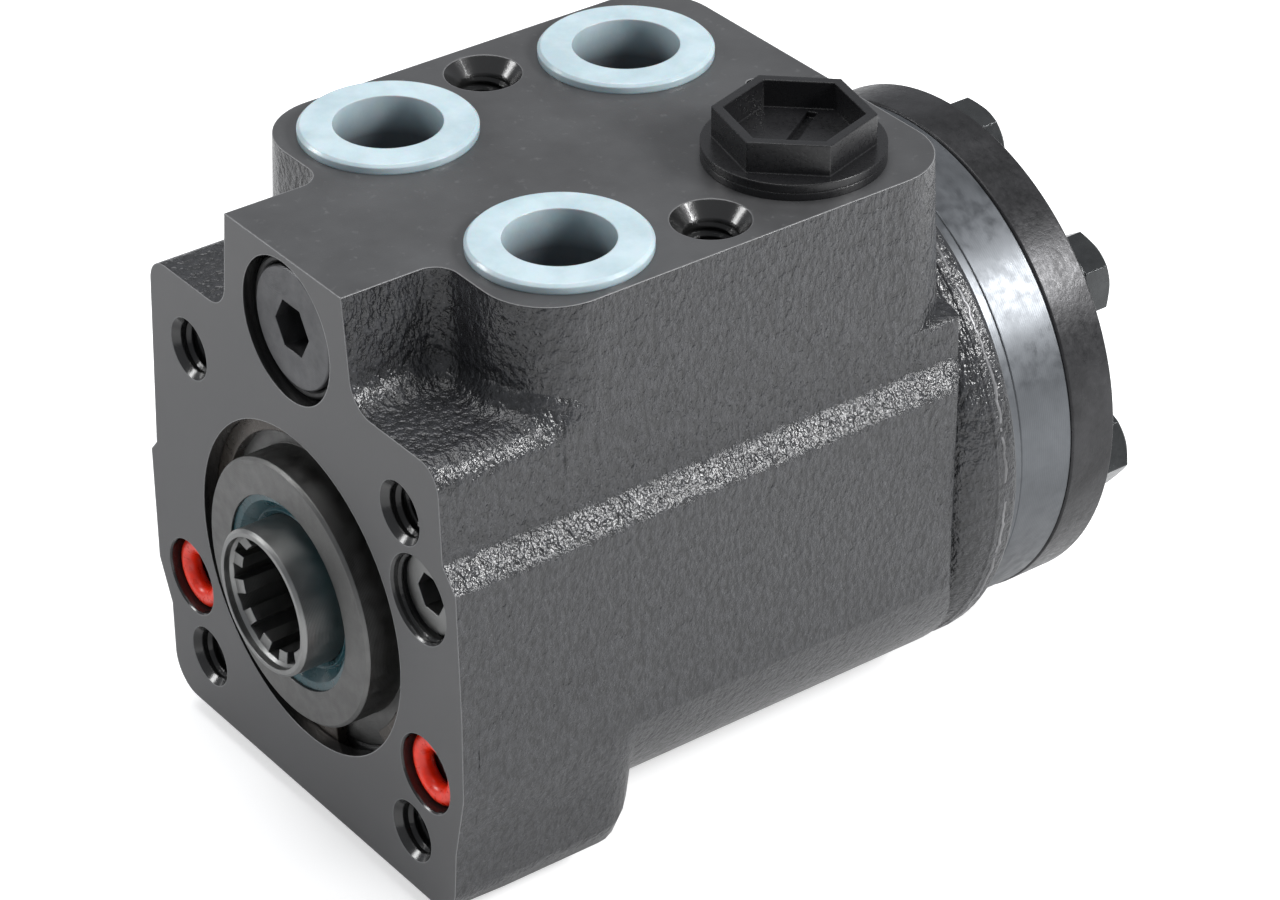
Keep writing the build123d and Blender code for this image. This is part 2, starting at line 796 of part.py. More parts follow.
# ---------------------------------------------------------------- gear set
with BuildPart() as distributor_plate:
    with BuildSketch(station(housing_length)):
        Circle(stack_radius)
        Circle(plate_bore, mode=Mode.SUBTRACT)
        with Locations(*ring_places(cover_bolt_circle, tooth_angles)):
            Circle(cover_bolt_radius + seat_gap, mode=Mode.SUBTRACT)
        with Locations(*ring_places(passage_circle, chamber_angles)):
            Circle(passage_radius, mode=Mode.SUBTRACT)
    extrude(amount=-plate_thickness)
finish(distributor_plate, "distributor_plate")

# Inside the ring the round teeth stand out from a cavity that the rotor's tips just clear
cavity_radius = tooth_pitch_radius + 2 * eccentricity - tooth_radius + seat_gap
with BuildPart() as gear_ring:
    with BuildSketch(station(gear_front)):
        Circle(stack_radius)
        Circle(cavity_radius, mode=Mode.SUBTRACT)
        with Locations(*ring_places(tooth_pitch_radius, tooth_angles)):
            Circle(tooth_radius)
        with Locations(*ring_places(cover_bolt_circle, tooth_angles)):
            Circle(cover_bolt_radius + seat_gap, mode=Mode.SUBTRACT)
    extrude(amount=-gear_width)
    chamfer(gear_ring.edges().filter_by(GeomType.CIRCLE).group_by(SortBy.RADIUS)[-1], stack_edge)
    for face_depth, inwards in ((gear_front, -o_ring_groove_depth), (cover_front, o_ring_groove_depth)):
        with BuildSketch(station(face_depth)):
            Circle(o_ring_radius + o_ring_groove_half)
            Circle(o_ring_radius - o_ring_groove_half, mode=Mode.SUBTRACT)
        extrude(amount=inwards, mode=Mode.SUBTRACT)
finish(gear_ring, "gear_ring")


def rotor_point(turn):
    """Point of the rotor's flank: the path of a ring tooth's centre, moved in by its radius."""
    path_x = tooth_pitch_radius * cos(turn) + eccentricity * cos(ring_teeth * turn)
    path_y = tooth_pitch_radius * sin(turn) + eccentricity * sin(ring_teeth * turn)
    slope_x = -tooth_pitch_radius * sin(turn) - ring_teeth * eccentricity * sin(ring_teeth * turn)
    slope_y = tooth_pitch_radius * cos(turn) + ring_teeth * eccentricity * cos(ring_teeth * turn)
    inset = (tooth_radius + gear_gap) / (slope_x**2 + slope_y**2) ** 0.5
    return (path_x - inset * slope_y, path_y + inset * slope_x)


flank_points = (ring_teeth - 1) * points_per_lobe
with BuildPart() as rotor:
    with BuildSketch(station(gear_front + slip, 0, eccentricity)):
        with BuildLine():
            Spline(*[rotor_point(2 * pi * k / flank_points) for k in range(flank_points)], periodic=True)
        make_face()
        Circle(rotor_spline_minor, mode=Mode.SUBTRACT)
        add_teeth(
            rotor_spline_teeth,
            rotor_spline_minor - edge_break,
            rotor_spline_major,
            rotor_space_inner,
            rotor_space_outer,
            mode=Mode.SUBTRACT,
        )
    extrude(amount=2 * slip - gear_width)
finish(rotor, "rotor")

# ---------------------------------------------------------------- drive shaft and spacer
# The shaft leans from the cross pin to the middle of the rotor; its own Z runs along it
shaft_direction = (0, cos(radians(drive_tilt)), sin(radians(drive_tilt)))
shaft_plane = Plane(cross_plane.origin, x_dir=(1, 0, 0), z_dir=shaft_direction)
shaft_section = Plane(cross_plane.origin, x_dir=shaft_plane.z_dir, z_dir=(1, 0, 0))
shaft_axis = Axis(shaft_plane.origin, shaft_plane.z_dir)
drive_reach = (gear_middle - cross_pin_station) / cos(radians(drive_tilt))
head_half = gear_width / 2 - drive_head_setback
head_front = drive_reach - head_half
head_rear = drive_reach + head_half
head_edge = drive_head_tip - crown
fork_slot = cross_pin_radius + fork_gap
with BuildPart() as drive_shaft:
    # Splined head, turned barrel-shaped so that it can rock in the rotor
    with BuildSketch(shaft_plane.offset(head_front)):
        Circle(drive_head_root)
        add_teeth(rotor_spline_teeth, drive_head_root - edge_break, drive_head_tip, head_tooth_root, head_tooth_tip)
    extrude(amount=2 * head_half)
    with BuildSketch(shaft_section):
        with BuildLine():
            Polyline((head_front, head_edge), (head_front, 0), (head_rear, 0), (head_rear, head_edge))
            ThreePointArc((head_rear, head_edge), (drive_reach, drive_head_tip), (head_front, head_edge))
        make_face()
    revolve(axis=shaft_axis, mode=Mode.INTERSECT)
    # Shank, and the fork that straddles the cross pin
    with BuildSketch(shaft_section):
        with BuildLine():
            Polyline(
                (-fork_reach, 0),
                (-fork_reach, drive_fork_radius - edge_break),
                (edge_break - fork_reach, drive_fork_radius),
                (fork_root, drive_fork_radius),
                (fork_root + 2 * (drive_fork_radius - drive_shaft_radius), drive_shaft_radius),
                (head_front, drive_shaft_radius),
                (head_front, 0),
                close=True,
            )
        make_face()
    revolve(axis=shaft_axis)
    with BuildSketch(shaft_section):
        with Locations((-fork_reach, 0)):
            Rectangle(2 * (fork_reach + fork_slot + fork_root_gap), 2 * fork_slot)
    extrude(amount=2 * drive_fork_radius, both=True, mode=Mode.SUBTRACT)
finish(drive_shaft, "drive_shaft")

with BuildPart() as drive_spacer:
    with BuildSketch(station(cover_front - slip, 0, eccentricity)):
        Circle(spacer_radius)
    extrude(amount=spacer_thickness)
    chamfer(drive_spacer.edges().filter_by(GeomType.CIRCLE), edge_break / 2)
finish(drive_spacer, "drive_spacer")

# ---------------------------------------------------------------- end cover, its bolts and the O-rings
with BuildPart() as end_cover:
    with BuildSketch(station(cover_front)):
        Circle(cover_radius)
        with Locations(*ring_places(cover_bolt_circle, tooth_angles)):
            Circle(cover_bolt_radius + seat_gap, mode=Mode.SUBTRACT)
    extrude(amount=-cover_thickness)
    chamfer(end_cover.edges().filter_by(GeomType.CIRCLE).group_by(SortBy.RADIUS)[-1], stack_edge)
finish(end_cover, "end_cover")

with BuildPart() as bolt_washers:
    with BuildSketch(station(cover_rear)):
        with Locations(*ring_places(cover_bolt_circle, tooth_angles)):
            Circle(cover_washer_radius)
            Circle(cover_bolt_radius + seat_gap, mode=Mode.SUBTRACT)
    extrude(amount=-cover_washer_thickness)
finish(bolt_washers, "bolt_washers")

with BuildPart() as cover_bolts:
    with BuildSketch(station(head_seat)):
        with Locations(*ring_places(cover_bolt_circle, tooth_angles)):
            RegularPolygon(cover_bolt_flats / 2, 6, major_radius=False)
    extrude(amount=-cover_bolt_head)
    with BuildSketch(station(head_seat)):
        with Locations(*ring_places(cover_bolt_circle, tooth_angles)):
            Circle(cover_bolt_radius)
    extrude(amount=head_seat - housing_length + cover_bolt_grip)
finish(cover_bolts, "cover_bolts")

o_ring_inset = o_ring_section / 2
housing_o_ring = o_ring(o_ring_radius, housing_length - o_ring_inset)
finish(housing_o_ring, "housing_o_ring")
plate_o_ring = o_ring(o_ring_radius, gear_front + o_ring_inset)
finish(plate_o_ring, "plate_o_ring")
cover_o_ring = o_ring(o_ring_radius, cover_front - o_ring_inset)
finish(cover_o_ring, "cover_o_ring")

# ---------------------------------------------------------------- relief valve
with BuildPart() as relief_plug:
    with BuildSketch(station(relief_plug_sink, relief_x, relief_z)):
        Circle(relief_plug_radius)
    extrude(amount=-relief_plug_length)
    chamfer(relief_plug.edges().filter_by(GeomType.CIRCLE).group_by(Axis.Y)[0], edge_break / 2)
    with BuildSketch(station(relief_plug_sink, relief_x, relief_z)):
        RegularPolygon(relief_socket_flats / 2, 6, major_radius=False, rotation=relief_socket_turn)
    extrude(amount=-relief_socket_depth, mode=Mode.SUBTRACT)
finish(relief_plug, "relief_plug")

relief_seal = o_ring(
    relief_plug_radius + relief_seal_section / 2,
    relief_mouth_depth - relief_seal_section / 2,
    relief_x,
    relief_z,
    section=relief_seal_section,
)
finish(relief_seal, "relief_seal")

relief_seat = tube(relief_seat_bore, relief_chamber, relief_seat_front, relief_chamber_end, relief_x, relief_z)
finish(relief_seat, "relief_seat")

relief_collar = relief_seat_front - relief_cone - relief_collar_width
relief_poppet = turned(
    [
        (0, relief_seat_front + relief_cone / 2),
        (relief_seat_bore - seat_gap, relief_seat_front - slip),
        (relief_guide, relief_seat_front - relief_cone),
        (relief_guide, relief_collar),
        (relief_stem, relief_collar),
        (relief_stem, relief_collar - relief_stem_length),
        (0, relief_collar - relief_stem_length),
    ],
    relief_x,
    relief_z,
)
finish(relief_poppet, "relief_poppet")

relief_spring = spring_coil(
    relief_spring_radius,
    relief_spring_wire,
    relief_plug_end,
    relief_collar - relief_plug_end,
    relief_spring_turns,
    relief_x,
    relief_z,
)
finish(relief_spring, "relief_spring")

# ---------------------------------------------------------------- shock valves, one on each side
shock_seal_section = shock_screw_radius - shock_seal_bore
shock_ball_y = shock_chamber_end - shock_ball_radius - seat_gap
for side, x in (("left", -shock_x), ("right", shock_x)):
    with BuildPart() as shock_screw:
        with BuildSketch(station(shock_screw_front, x, shock_z)):
            Circle(shock_screw_radius)
        extrude(amount=-shock_screw_length)
        with BuildSketch(station(shock_screw_front, x, shock_z)):
            RegularPolygon(shock_socket_flats / 2, 6, major_radius=False)
        extrude(amount=-shock_screw_length / 2, mode=Mode.SUBTRACT)
    finish(shock_screw, f"{side}_shock_screw")

    shock_seal = o_ring(
        shock_seal_bore + shock_seal_section / 2,
        shock_screw_front - shock_seal_section / 2,
        x,
        shock_z,
        section=shock_seal_section,
    )
    finish(shock_seal, f"{side}_shock_seal")

    with BuildPart() as shock_ball:
        with Locations((x, shock_ball_y, shock_z)):
            Sphere(shock_ball_radius)
    finish(shock_ball, f"{side}_shock_ball")

    shock_spring = spring_coil(
        shock_spring_radius,
        shock_spring_wire,
        shock_screw_end,
        shock_ball_y - shock_spring_seat - shock_screw_end,
        shock_spring_turns,
        x,
        shock_z,
    )
    finish(shock_spring, f"{side}_shock_spring")

# ---------------------------------------------------------------- check valve
with BuildPart() as check_bush:
    with BuildSketch(station(check_bush_front, check_x, check_z)):
        Circle(check_bush_radius)
    extrude(amount=-check_bush_length)
    chamfer(check_bush.edges().filter_by(GeomType.CIRCLE).group_by(Axis.Y)[0], edge_break)
    with BuildSketch(station(check_bush_front, check_x, check_z)):
        RegularPolygon(check_socket_flats / 2, 6, major_radius=False, rotation=check_socket_turn)
    extrude(amount=-check_bush_length, mode=Mode.SUBTRACT)
finish(check_bush, "check_bush")

with BuildPart() as check_ball:
    with Locations((check_x, check_chamber_end - check_ball_radius - seat_gap, check_z)):
        Sphere(check_ball_radius)
finish(check_ball, "check_ball")

# ---------------------------------------------------------------- plugs in the ports
for name, (x, y) in zip(("front_left", "front_right", "rear_left"), port_places):
    with BuildPart() as port_cap:
        with BuildSketch(Plane.XY.offset(port_face_height)):
            with Locations((x, y)):
                Circle(cap_flange_radius)
        extrude(amount=cap_flange_thickness)
        chamfer(port_cap.edges().filter_by(GeomType.CIRCLE).group_by(Axis.Z)[-1], edge_break)
        with BuildSketch(Plane.XY.offset(port_face_height)):
            with Locations((x, y)):
                Circle(port_bore - thread_gap)
        extrude(amount=-cap_length)
        with BuildSketch(Plane.XY.offset(cap_flange_top)):
            with Locations((x, y)):
                Circle(cap_cup_radius)
        extrude(amount=cap_floor - cap_flange_thickness - cap_length, mode=Mode.SUBTRACT)
    finish(port_cap, f"port_cap_{name}")

with BuildPart() as hex_plug_washer:
    with BuildSketch(Plane.XY.offset(port_face_height)):
        with Locations(port_places[3]):
            Circle(hex_plug_flange_radius)
            Circle(port_bore, mode=Mode.SUBTRACT)
    extrude(amount=hex_plug_washer_thickness)
finish(hex_plug_washer, "hex_plug_washer")

hex_direction = (cos(radians(hex_plug_turn)), sin(radians(hex_plug_turn)), 0)
hex_plane = Plane((*port_places[3], hex_base), x_dir=hex_direction)
with BuildPart() as hex_port_plug:
    with BuildSketch(hex_plane):
        Circle(hex_plug_flange_radius)
    extrude(amount=hex_plug_flange_thickness)
    with BuildSketch(hex_plane):
        RegularPolygon(hex_plug_flats / 2, 6, major_radius=False)
    extrude(amount=hex_plug_height)
    with BuildSketch(hex_plane):
        Circle(port_bore - thread_gap)
    extrude(amount=-cap_length - hex_plug_washer_thickness)
    with BuildSketch(hex_plane.offset(hex_plug_height)):
        RegularPolygon(hex_plug_flats / 2 - hex_plug_wall, 6, major_radius=False)
    extrude(amount=-hex_plug_recess, mode=Mode.SUBTRACT)
    with BuildSketch(hex_plane.offset(hex_plug_height - hex_plug_recess)):
        with Locations(Location((0, 0), hex_slot_turn)):
            Rectangle(2 * cap_cup_radius, hex_slot_width)
    extrude(amount=-hex_slot_depth, mode=Mode.SUBTRACT)
finish(hex_port_plug, "hex_port_plug")
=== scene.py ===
"""Looks of the orbital steering unit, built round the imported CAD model.

All lengths are in metres.
"""

import json
import math
import random

import bpy
from mathutils import Matrix, Vector, noise


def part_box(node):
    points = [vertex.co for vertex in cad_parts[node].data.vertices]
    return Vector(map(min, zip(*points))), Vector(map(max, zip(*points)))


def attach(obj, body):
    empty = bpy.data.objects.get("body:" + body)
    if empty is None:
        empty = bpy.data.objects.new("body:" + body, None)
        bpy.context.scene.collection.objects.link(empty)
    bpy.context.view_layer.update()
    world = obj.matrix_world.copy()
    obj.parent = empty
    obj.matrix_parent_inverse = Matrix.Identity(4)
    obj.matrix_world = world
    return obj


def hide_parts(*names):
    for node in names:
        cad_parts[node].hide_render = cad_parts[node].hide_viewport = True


MM = 0.001
random.seed(7)
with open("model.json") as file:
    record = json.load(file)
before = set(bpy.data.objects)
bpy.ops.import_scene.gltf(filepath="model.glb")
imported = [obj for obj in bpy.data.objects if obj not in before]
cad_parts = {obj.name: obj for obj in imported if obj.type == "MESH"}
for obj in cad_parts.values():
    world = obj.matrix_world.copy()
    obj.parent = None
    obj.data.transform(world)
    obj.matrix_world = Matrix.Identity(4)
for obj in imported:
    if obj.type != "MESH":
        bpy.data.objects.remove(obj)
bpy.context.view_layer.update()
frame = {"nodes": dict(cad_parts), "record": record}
nodes = frame["nodes"]


# ---------------------------------------------------------------- places taken from the frame
def span(node):
    """Lowest and highest corners of a CAD node's box."""
    low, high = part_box(node)
    return Vector(low), Vector(high)


def middle(node):
    """Centre of a CAD node's box."""
    low, high = span(node)
    return (low + high) / 2


mounts = {mount["name"]: mount for mount in frame["record"]["mounts"]}
housing_low, housing_high = span("housing")
BASE = housing_low.z
FACE_Z = span("hex_plug_washer")[0].z
REAR_Y = housing_high.y
COLUMN_OFFSET = mounts["column_bolts"]["dims"]["pcd_mm"] * MM / 2 * math.cos(math.pi / 4)
COLUMN_HOLE = mounts["column_bolts"]["dims"]["hole_r_mm"] * MM
VALVE_X = mounts["valve_bolts"]["dims"]["spacing_x_mm"] * MM / 2
VALVE_Y = mounts["valve_bolts"]["pos_m"][1]
RELIEF = middle("relief_plug")
CHECK = middle("check_bush")
SHOCK = middle("right_shock_screw")

# ---------------------------------------------------------------- sizes
# Where the housing is machined: this close to its front and port faces, and the land of the
# rear flange
FACE_SKIN = 0.08 * MM
REAR_LAND = 1.4 * MM
# How near to those faces the corners stay sharp
SHARP_NEAR_FACE = 2.2 * MM
SHARP_NEAR_REAR = 9 * MM
SHARP_EDGE = 0.35 * MM
CAST_EDGE = 1.9 * MM
# Radii inside which the housing's skin belongs to a bore, and how far back the bores reach
COLUMN_BORE = 5.2 * MM
VALVE_BORE = 6.5 * MM
SHOCK_BORE = 6.9 * MM
CHECK_BORE = 7.5 * MM
RELIEF_BORE = 12.1 * MM
GLAND_BORE = 29.4 * MM
FACE_BORES_END = 40 * MM
RELIEF_BORE_END = 15 * MM
GLAND_BORE_END = 100 * MM
VALVE_BORE_FLOOR = 30 * MM
# Port block and the shoulders beside it
BLOCK_HALF_WIDTH = 38.3 * MM
BLOCK_FRONT = 17.7 * MM
BLOCK_CORNER = 11.5 * MM
BLOCK_DRAFT = 2.4
SHOULDER_X = 39.4 * MM
SHOULDER_Z = 41.4 * MM
SHOULDER_ROUND = 4.5 * MM
SHOULDER_LEAN = 0.7 * MM
SHOULDER_STEP = 0.5 * MM
SHOULDER_LEAD = 3.5 * MM
SHOULDER_TAIL = 3 * MM
SHOULDER_DRAW_IN = 5 * MM
SHOULDER_LIFT = 0.01 * MM
LEDGE_Z = 25.6 * MM
CAST_FILLET = 4.0 * MM
# Trunk and foot
TRUNK_X = 43.9 * MM
FOOT_X = 40.2 * MM
FOOT_Z = -39.8 * MM
FOOT_SKIN = FOOT_Z + 0.1 * MM
FOOT_FRONT = 3 * MM
FOOT_TURN = 28.5 * MM
FOOT_REAR = 37 * MM
FOOT_SINK_X = 9 * MM
FOOT_SINK_Z = 11 * MM
# Round shoulder of the rear flange, and the gap that its pieces keep above the floor
FLANGE_RADIUS = housing_high.x - 0.03 * MM
DOME_ROOT = 36 * MM
DOME_INSIDE = 4 * MM
DOME_START = REAR_Y - 14 * MM
DOME_END = REAR_Y - 3.9 * MM
FLOOR_Z = BASE + 0.05 * MM
# Casting flash on that flange
FLASH_SINK = 0.6 * MM
FLASH_HEIGHT = 0.10 * MM
FLASH_RAGGED = 0.24 * MM
# Cover bolts: half the width across flats, the top's radius as a share of it, and a chamfer whose
# slope is near the tangent of 30 degrees
BOLT_COUNT = 7
BOLT_CIRCLE = 34.3 * MM
HEAD_HALF_FLATS = 6.5 * MM
HEAD_TOP_SHARE = 0.96
HEAD_EDGE = 0.35 * MM
HEAD_CHAMFER_SLOPE = 0.577
HEAD_SIDES = 48
SHANK_RADIUS = 4 * MM
SHANK_SIDES = 16
# Threads: steps in a turn, depth and half widths as shares of the pitch, run-out in turns, and
# the root's radius as a share of the bore's
THREAD_STEPS = 36
THREAD_DEPTH = 0.42
THREAD_ROOT = 0.46
THREAD_CREST = 0.08
THREAD_RUN_OUT = 0.4
THREAD_SEAT = 1.01
# Each thread's radius and pitch, and how far below its mouth it starts
M10_PITCH = 1.5 * MM
COLUMN_THREAD_START = 1.9 * MM
VALVE_THREAD_START = 3.2 * MM
CHECK_THREAD_RADIUS = 7.0 * MM
CHECK_THREAD_PITCH = 1.0 * MM
CHECK_THREAD_START = 1.0 * MM

# ---------------------------------------------------------------- colours, linear
CAST_DARK = (0.012, 0.0125, 0.0135)
CAST_LIGHT = (0.028, 0.029, 0.032)
DUST = (0.16, 0.165, 0.17)
MACHINED_DARK = (0.036, 0.036, 0.037)
MACHINED_LIGHT = (0.054, 0.055, 0.057)
SCRATCH = (0.14, 0.142, 0.145)
WORN_EDGE = (0.30, 0.30, 0.305)
# Painted shade: near-black for the walls of the housing's bores
BORE_PAINTED_SHADE = (0.012, 0.012, 0.012)
CAP_PALE = (0.36, 0.46, 0.50)
CAP_PALEST = (0.45, 0.55, 0.59)
# Painted shade: the colour that the caps' cups darken to with depth
CAP_PAINTED_SHADE = (0.075, 0.085, 0.095)
WHITE = (1.0, 1.0, 1.0, 1.0)
ROOM_GREY = (0.36, 0.37, 0.39, 1.0)
FLOOR_PALE = (0.86, 0.86, 0.86, 1.0)

# ---------------------------------------------------------------- studio
FLOOR_REACH = 6.0
FLOOR_GLOW = 0.45
LIGHT_TARGET = (0, 0.05, 0)
# Each softbox: name, place, width, height, watts
SOFTBOXES = (
    ("key", (0.685, 0.564, 0.600), 0.34, 0.26, 11.0),
    ("overhead", (-0.2, 0.1, 1.1), 0.9, 0.7, 8.0),
    ("fill", (-0.75, -0.6, 0.55), 0.32, 0.28, 4.0),
)
# Camera fitted to the photograph: its place, its axes, and its focal length in pixels
CAMERA_PLACE = Vector((476.780, -289.050, 377.195)) * MM
CAMERA_RIGHT = Vector((0.598742, 0.800934, -0.003638))
CAMERA_DOWN = Vector((0.427208, -0.323196, -0.844416))
CAMERA_AHEAD = Vector((-0.677497, 0.504033, -0.535676))
FOCAL_PX = 4341.13
PHOTO_WIDTH_PX = 1280


# ---------------------------------------------------------------- node materials
class Shader:
    """Short calls for building one node material."""

    def __init__(self, name):
        self.material = bpy.data.materials.new(name)
        self.material.use_nodes = True
        self.tree = self.material.node_tree
        self.tree.nodes.clear()
        self.output = self.node("ShaderNodeOutputMaterial")
        self.surface = self.node("ShaderNodeBsdfPrincipled")
        self.link(self.surface.outputs[0], self.output.inputs["Surface"])
        self.place = self.node("ShaderNodeTexCoord").outputs["Object"]

    def node(self, kind, **settings):
        new = self.tree.nodes.new(kind)
        for key, value in settings.items():
            setattr(new, key, value)
        return new

    def link(self, source, target):
        """Join a socket to the target, or give the target a plain value."""
        if isinstance(source, bpy.types.NodeSocket):
            self.tree.links.new(source, target)
        else:
            target.default_value = source

    def set(self, **values):
        """Inputs of the surface, with underscores for the spaces in their names."""
        for key, value in values.items():
            self.link(value, self.surface.inputs[key.replace("_", " ")])

    def math(self, operation, a, b=0.0, clamp=False):
        new = self.node("ShaderNodeMath", operation=operation, use_clamp=clamp)
        self.link(a, new.inputs[0])
        self.link(b, new.inputs[1])
        return new.outputs[0]

    def axes(self):
        """The three object coordinates."""
        split = self.node("ShaderNodeSeparateXYZ")
        self.link(self.place, split.inputs[0])
        return split.outputs

    def noise(self, scale, detail=2.0, roughness=0.5, stretch=None):
        new = self.node("ShaderNodeTexNoise", noise_type="FBM")
        new.inputs["Scale"].default_value = scale
        new.inputs["Detail"].default_value = detail
        new.inputs["Roughness"].default_value = roughness
        place = self.place
        if stretch:
            mapping = self.node("ShaderNodeMapping")
            mapping.inputs["Scale"].default_value = stretch
            self.link(self.place, mapping.inputs["Vector"])
            place = mapping.outputs[0]
        self.link(place, new.inputs["Vector"])
        return new.outputs["Fac"]

    def ramp(self, value, *stops):
        """Colours at positions of a value, each stop given as (position, colour)."""
        new = self.node("ShaderNodeValToRGB")
        for element, (position, colour) in zip(new.color_ramp.elements, stops):
            element.position = position
            element.color = (*colour, 1.0)
        self.link(value, new.inputs[0])
        return new.outputs["Color"]

    def spread(self, value, low, high, to_low=0.0, to_high=1.0):
        """A value's range from low to high, spread over another range."""
        new = self.node("ShaderNodeMapRange")
        for socket, number in zip(new.inputs[1:5], (low, high, to_low, to_high)):
            socket.default_value = number
        self.link(value, new.inputs[0])
        return new.outputs[0]

    def blend(self, factor, a, b):
        """Mix of two colours."""
        new = self.node("ShaderNodeMix", data_type="RGBA")
        self.link(factor, new.inputs[0])
        self.link((*a, 1.0) if isinstance(a, tuple) else a, new.inputs[6])
        self.link((*b, 1.0) if isinstance(b, tuple) else b, new.inputs[7])
        return new.outputs[2]

    def mix(self, factor, a, b):
        """Mix of two numbers."""
        new = self.node("ShaderNodeMix", data_type="FLOAT")
        self.link(factor, new.inputs[0])
        self.link(a, new.inputs[2])
        self.link(b, new.inputs[3])
        return new.outputs[0]

    def relief(self, height, depth, edge):
        """Bump of the given depth in metres, over edges rounded to the radius `edge`."""
        bump = self.node("ShaderNodeBump")
        bump.inputs["Strength"].default_value = 1.0
        bump.inputs["Distance"].default_value = depth
        self.link(height, bump.inputs["Height"])
        bevel = self.node("ShaderNodeBevel", samples=6)
        self.link(edge, bevel.inputs["Radius"])
        self.link(bevel.outputs[0], bump.inputs["Normal"])
        self.link(bump.outputs[0], self.surface.inputs["Normal"])

    def edge(self, radius):
        """How far the surface turns within a radius: 0 on flat ground, rising at sharp edges."""
        bevel = self.node("ShaderNodeBevel", samples=8)
        bevel.inputs["Radius"].default_value = radius
        turn = self.node("ShaderNodeVectorMath", operation="DOT_PRODUCT")
        self.link(bevel.outputs[0], turn.inputs[0])
        self.link(self.node("ShaderNodeNewGeometry").outputs["True Normal"], turn.inputs[1])
        return self.math("SUBTRACT", 1.0, turn.outputs["Value"], clamp=True)

    def disc(self, a, b, radius, centre=(0.0, 0.0)):
        """1 inside a circle in the plane of two coordinates."""
        if centre[0]:
            a = self.math("SUBTRACT", a, centre[0])
        if centre[1]:
            b = self.math("SUBTRACT", b, centre[1])
        far = self.math("ADD", self.math("MULTIPLY", a, a), self.math("MULTIPLY", b, b))
        return self.math("LESS_THAN", far, radius * radius)

    def both(self, *masks):
        """Where all masks hold."""
        found = masks[0]
        for mask in masks[1:]:
            found = self.math("MULTIPLY", found, mask)
        return found

    def either(self, *masks):
        """Where any mask holds."""
        found = masks[0]
        for mask in masks[1:]:
            found = self.math("MAXIMUM", found, mask)
        return found


def bore_mask(s, x, y, z):
    """The inside of the housing's bores, behind the front face and below the port face."""
    side_x = s.math("ABSOLUTE", x)
    side_z = s.math("ABSOLUTE", z)
    inside = s.math("GREATER_THAN", y, FACE_SKIN)
    below = s.math("LESS_THAN", z, FACE_Z - FACE_SKIN)
    small = s.either(
        s.disc(side_x, side_z, COLUMN_BORE, (COLUMN_OFFSET, COLUMN_OFFSET)),
        s.disc(side_x, z, SHOCK_BORE, (SHOCK.x, SHOCK.z)),
        s.disc(x, z, CHECK_BORE, (CHECK.x, CHECK.z)),
    )
    return s.either(
        s.both(inside, small, s.math("LESS_THAN", y, FACE_BORES_END)),
        s.both(
            s.disc(x, z, RELIEF_BORE, (0.0, RELIEF.z)),
            inside,
            s.math("LESS_THAN", y, RELIEF_BORE_END),
        ),
        s.both(s.disc(x, z, GLAND_BORE), inside, s.math("LESS_THAN", y, GLAND_BORE_END)),
        s.both(
            s.disc(side_x, y, VALVE_BORE, (VALVE_X, VALVE_Y)),
            below,
            s.math("GREATER_THAN", z, VALVE_BORE_FLOOR),
        ),
    )


def housing_material():
    """Oily black casting with machined faces, and bores painted near-black as shade."""
    s = Shader("housing_cast")
    x, y, z = s.axes()
    machined = s.either(
        s.math("LESS_THAN", y, FACE_SKIN),
        s.math("GREATER_THAN", z, FACE_Z - FACE_SKIN),
        s.math("GREATER_THAN", y, REAR_Y - REAR_LAND),
    )
    near_machined = s.either(
        s.math("LESS_THAN", y, SHARP_NEAR_FACE),
        s.math("GREATER_THAN", z, FACE_Z - SHARP_NEAR_FACE),
        s.math("GREATER_THAN", y, REAR_Y - SHARP_NEAR_REAR),
    )
    bores = bore_mask(s, x, y, z)

    # Cast skin: leathery strokes about a millimetre long on slower lumps, with fine sand between
    wrinkle = s.noise(780.0, 2.5, 0.6, stretch=(1.0, 1.15, 0.8))
    lumps = s.noise(230.0, 2.0)
    sand = s.noise(2600.0, 2.0, 0.6)
    cast_height = s.math("ADD", s.math("MULTIPLY", wrinkle, 1.3), s.math("MULTIPLY", lumps, 0.7))
    cast_height = s.math("ADD", cast_height, s.math("MULTIPLY", sand, 0.16))
    fine = s.noise(3200.0, 2.0)
    height = s.mix(machined, cast_height, s.math("MULTIPLY", fine, 0.025))
    height = s.mix(bores, height, s.math("MULTIPLY", fine, 0.03))

    # Specks of dust on the cast skin, and scratches and bright worn edges on the machined faces
    dust = s.spread(s.noise(1500.0, 2.0, 0.7), 0.66, 0.74)
    cast_colour = s.ramp(wrinkle, (0.36, CAST_DARK), (0.62, CAST_LIGHT))
    cast_colour = s.blend(s.math("MULTIPLY", dust, 0.35), cast_colour, DUST)
    tone = s.noise(55.0, 4.0, 0.6)
    scratch = s.noise(500.0, 3.0, 0.7, stretch=(1.0, 1.0, 14.0))
    worn = s.spread(s.edge(0.5 * MM), 0.015, 0.2, 0.0, 0.8)
    machined_colour = s.ramp(tone, (0.3, MACHINED_DARK), (0.7, MACHINED_LIGHT))
    machined_colour = s.blend(s.spread(scratch, 0.62, 0.74, 0.0, 0.35), machined_colour, SCRATCH)
    machined_colour = s.blend(worn, machined_colour, WORN_EDGE)
    colour = s.blend(machined, cast_colour, machined_colour)
    # Painted shade: the bores' walls are coloured near-black
    colour = s.blend(bores, colour, BORE_PAINTED_SHADE)

    cast_rough = s.spread(lumps, 0.3, 0.7, 0.20, 0.28)
    rough = s.mix(machined, cast_rough, s.spread(tone, 0.3, 0.7, 0.34, 0.46))
    rough = s.mix(bores, rough, 0.2)
    s.set(Base_Color=colour, Metallic=0.0, Roughness=rough, Specular_IOR_Level=0.65)
    s.relief(height, 0.42 * MM, edge=s.mix(near_machined, CAST_EDGE, SHARP_EDGE))
    return s.material


